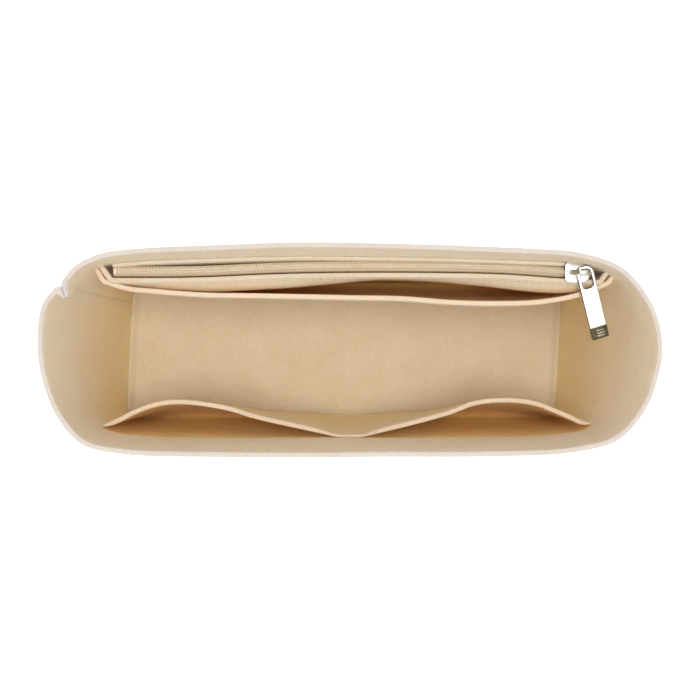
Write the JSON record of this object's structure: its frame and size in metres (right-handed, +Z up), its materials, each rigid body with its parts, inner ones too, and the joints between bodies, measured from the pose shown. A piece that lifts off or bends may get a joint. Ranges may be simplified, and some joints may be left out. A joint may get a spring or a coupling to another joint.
{
  "type": "purse organizer insert",
  "caption": "Stiff felt tub that stands inside a handbag, with open pockets along its front wall and a slip pocket and a zipped pocket along its back wall.",
  "frame": {"origin": "middle of the underside of the base, on the surface the insert stands on", "axes": "+X along the insert's length towards the closed end of the zip, +Y across it towards the zipped back wall, +Z up through the open rim"},
  "size_m": [0.28, 0.0961, 0.14],
  "materials": {
    "felt": "matte needled felt, beige, with a short fuzz",
    "tape": "matte woven zip tape, beige",
    "coil": "semi-matte dyed coil teeth, beige",
    "steel": "bright plated metal, lightly polished"
  },
  "bodies": {
    "root": {"base_panel": "felt", "wall_band": "felt", "front_pocket_panel": "felt", "slip_pocket_panel": "felt", "zip_pocket_panel": "felt", "zip_rear_band": "felt", "zip_tape_rear": "tape", "zip_tape_front": "tape", "zip_coil_rear": "coil", "zip_coil_front": "coil", "zip_bottom_stop": "steel", "zip_top_stop_rear": "steel", "zip_top_stop_front": "steel"},
    "slider": {"slider_body": "steel"},
    "pull": {"pull_tab": "steel"}
  },
  "joints": [
    {"name": "zip_slide", "type": "slide", "parent": "root", "child": "slider", "axis": [1, 0, 0], "range_m": [-0.2064, 0]},
    {"name": "pull_lift", "type": "hinge", "parent": "slider", "child": "pull", "pos_m": [0.1077, 0.0357, 0.1273], "axis": [-0.9563, -0.2924, 0], "range_deg": [0, 28]}
  ]
}
